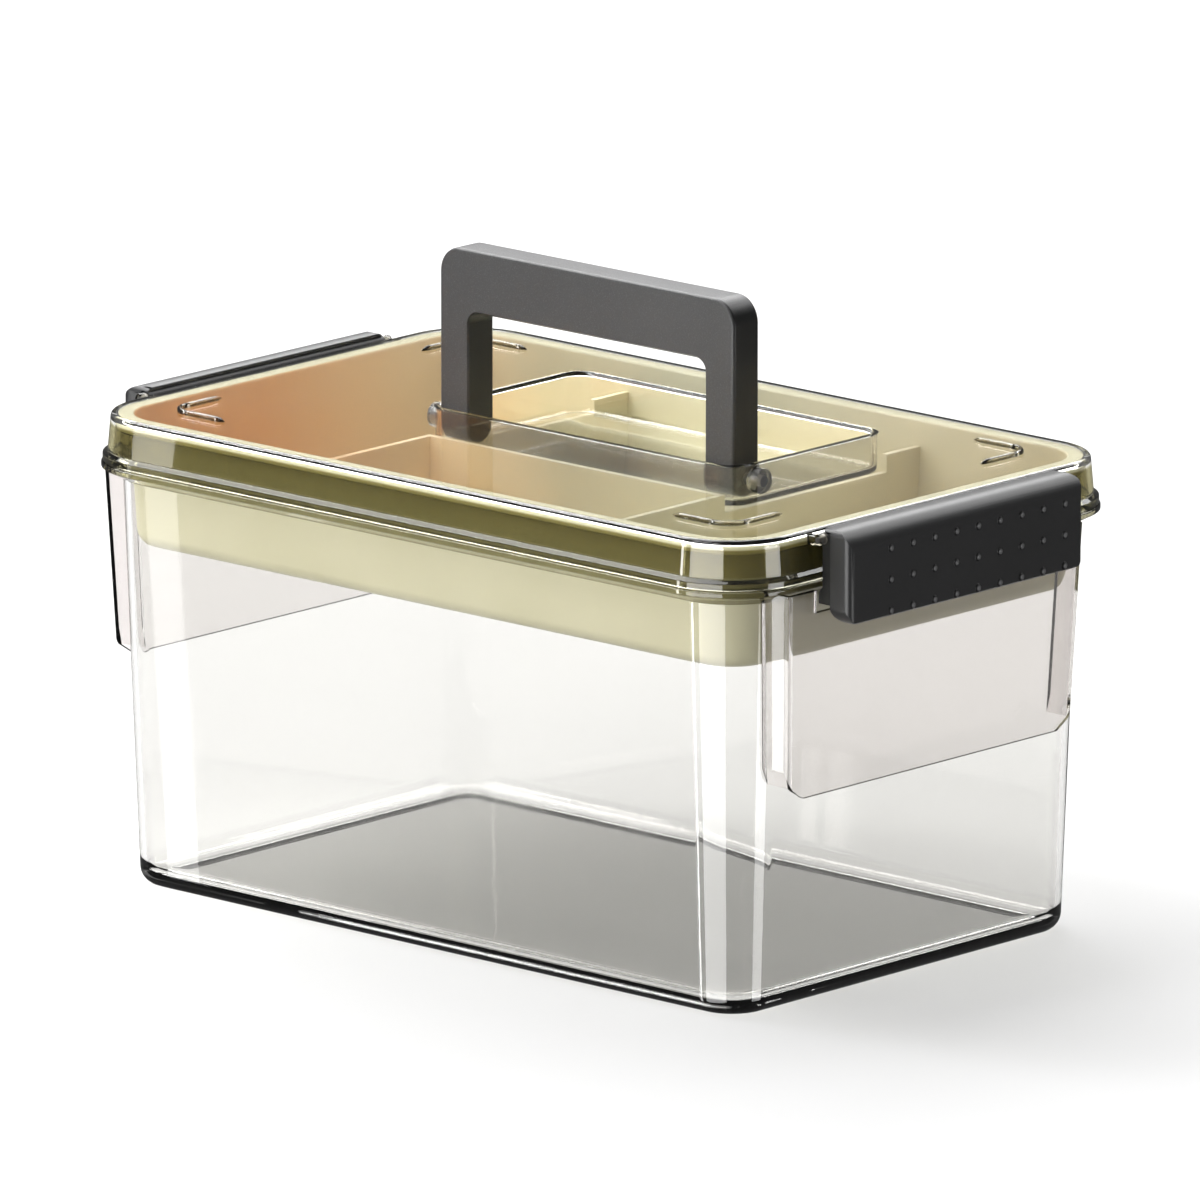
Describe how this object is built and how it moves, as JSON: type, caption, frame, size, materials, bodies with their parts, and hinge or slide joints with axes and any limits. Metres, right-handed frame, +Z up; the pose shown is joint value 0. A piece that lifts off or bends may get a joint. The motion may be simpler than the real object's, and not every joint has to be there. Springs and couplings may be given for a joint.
{
  "type": "medicine storage box",
  "caption": "Clear rounded storage box with a lift-off lid, a folding carry handle sunk in the lid, side latches and a drop-in divided tray.",
  "frame": {"origin": "on the floor under the middle of the box", "axes": "+X along the box towards the right latch, +Y from the front to the back, +Z up"},
  "size_m": [0.3364, 0.2008, 0.2222],
  "materials": {
    "clear_shell": "clear, slightly grey, high gloss",
    "tray_cream": "opaque cream, satin",
    "handle_charcoal": "charcoal, fine texture",
    "latch_charcoal": "charcoal, soft satin",
    "clip_black": "black, satin",
    "pin_steel": "drawn wire"
  },
  "bodies": {
    "tub": {"tub": "clear_shell"},
    "lid": {"lid": "clear_shell"},
    "tray": {"tray": "tray_cream", "divider_left": "tray_cream", "divider_right": "tray_cream", "divider_long": "tray_cream"},
    "handle": {"handle": "handle_charcoal", "handle_pin_left": "pin_steel", "handle_pin_right": "pin_steel"},
    "latch_left": {"latch_left_cover": "latch_charcoal", "latch_left_clip": "clip_black", "latch_left_pin": "pin_steel"},
    "latch_right": {"latch_right_cover": "latch_charcoal", "latch_right_clip": "clip_black", "latch_right_pin": "pin_steel"}
  },
  "joints": [
    {"name": "lid_lift", "type": "slide", "parent": "tub", "child": "lid", "axis": [0, 0, 1], "range_m": [0, 0.05]},
    {"name": "tray_lift", "type": "slide", "parent": "tub", "child": "tray", "axis": [0, 0, 1], "range_m": [0, 0.025]},
    {"name": "handle_fold", "type": "hinge", "parent": "lid", "child": "handle", "pos_m": [0, 0, 0.159], "axis": [-1, 0, 0], "range_deg": [0, 90]},
    {"name": "latch_left_turn", "type": "hinge", "parent": "lid", "child": "latch_left", "pos_m": [-0.15618, 0, 0.16365], "axis": [0, 1, 0], "range_deg": [0, 112]},
    {"name": "latch_right_turn", "type": "hinge", "parent": "lid", "child": "latch_right", "pos_m": [0.15618, 0, 0.16365], "axis": [0, -1, 0], "range_deg": [0, 112]}
  ],
  "couplings": [
    {"joint": "tray_lift", "follows": "lid_lift", "ratio": 0.5},
    {"joint": "latch_left_turn", "follows": "lid_lift", "rad_per_m": 39},
    {"joint": "latch_right_turn", "follows": "lid_lift", "rad_per_m": 39}
  ]
}
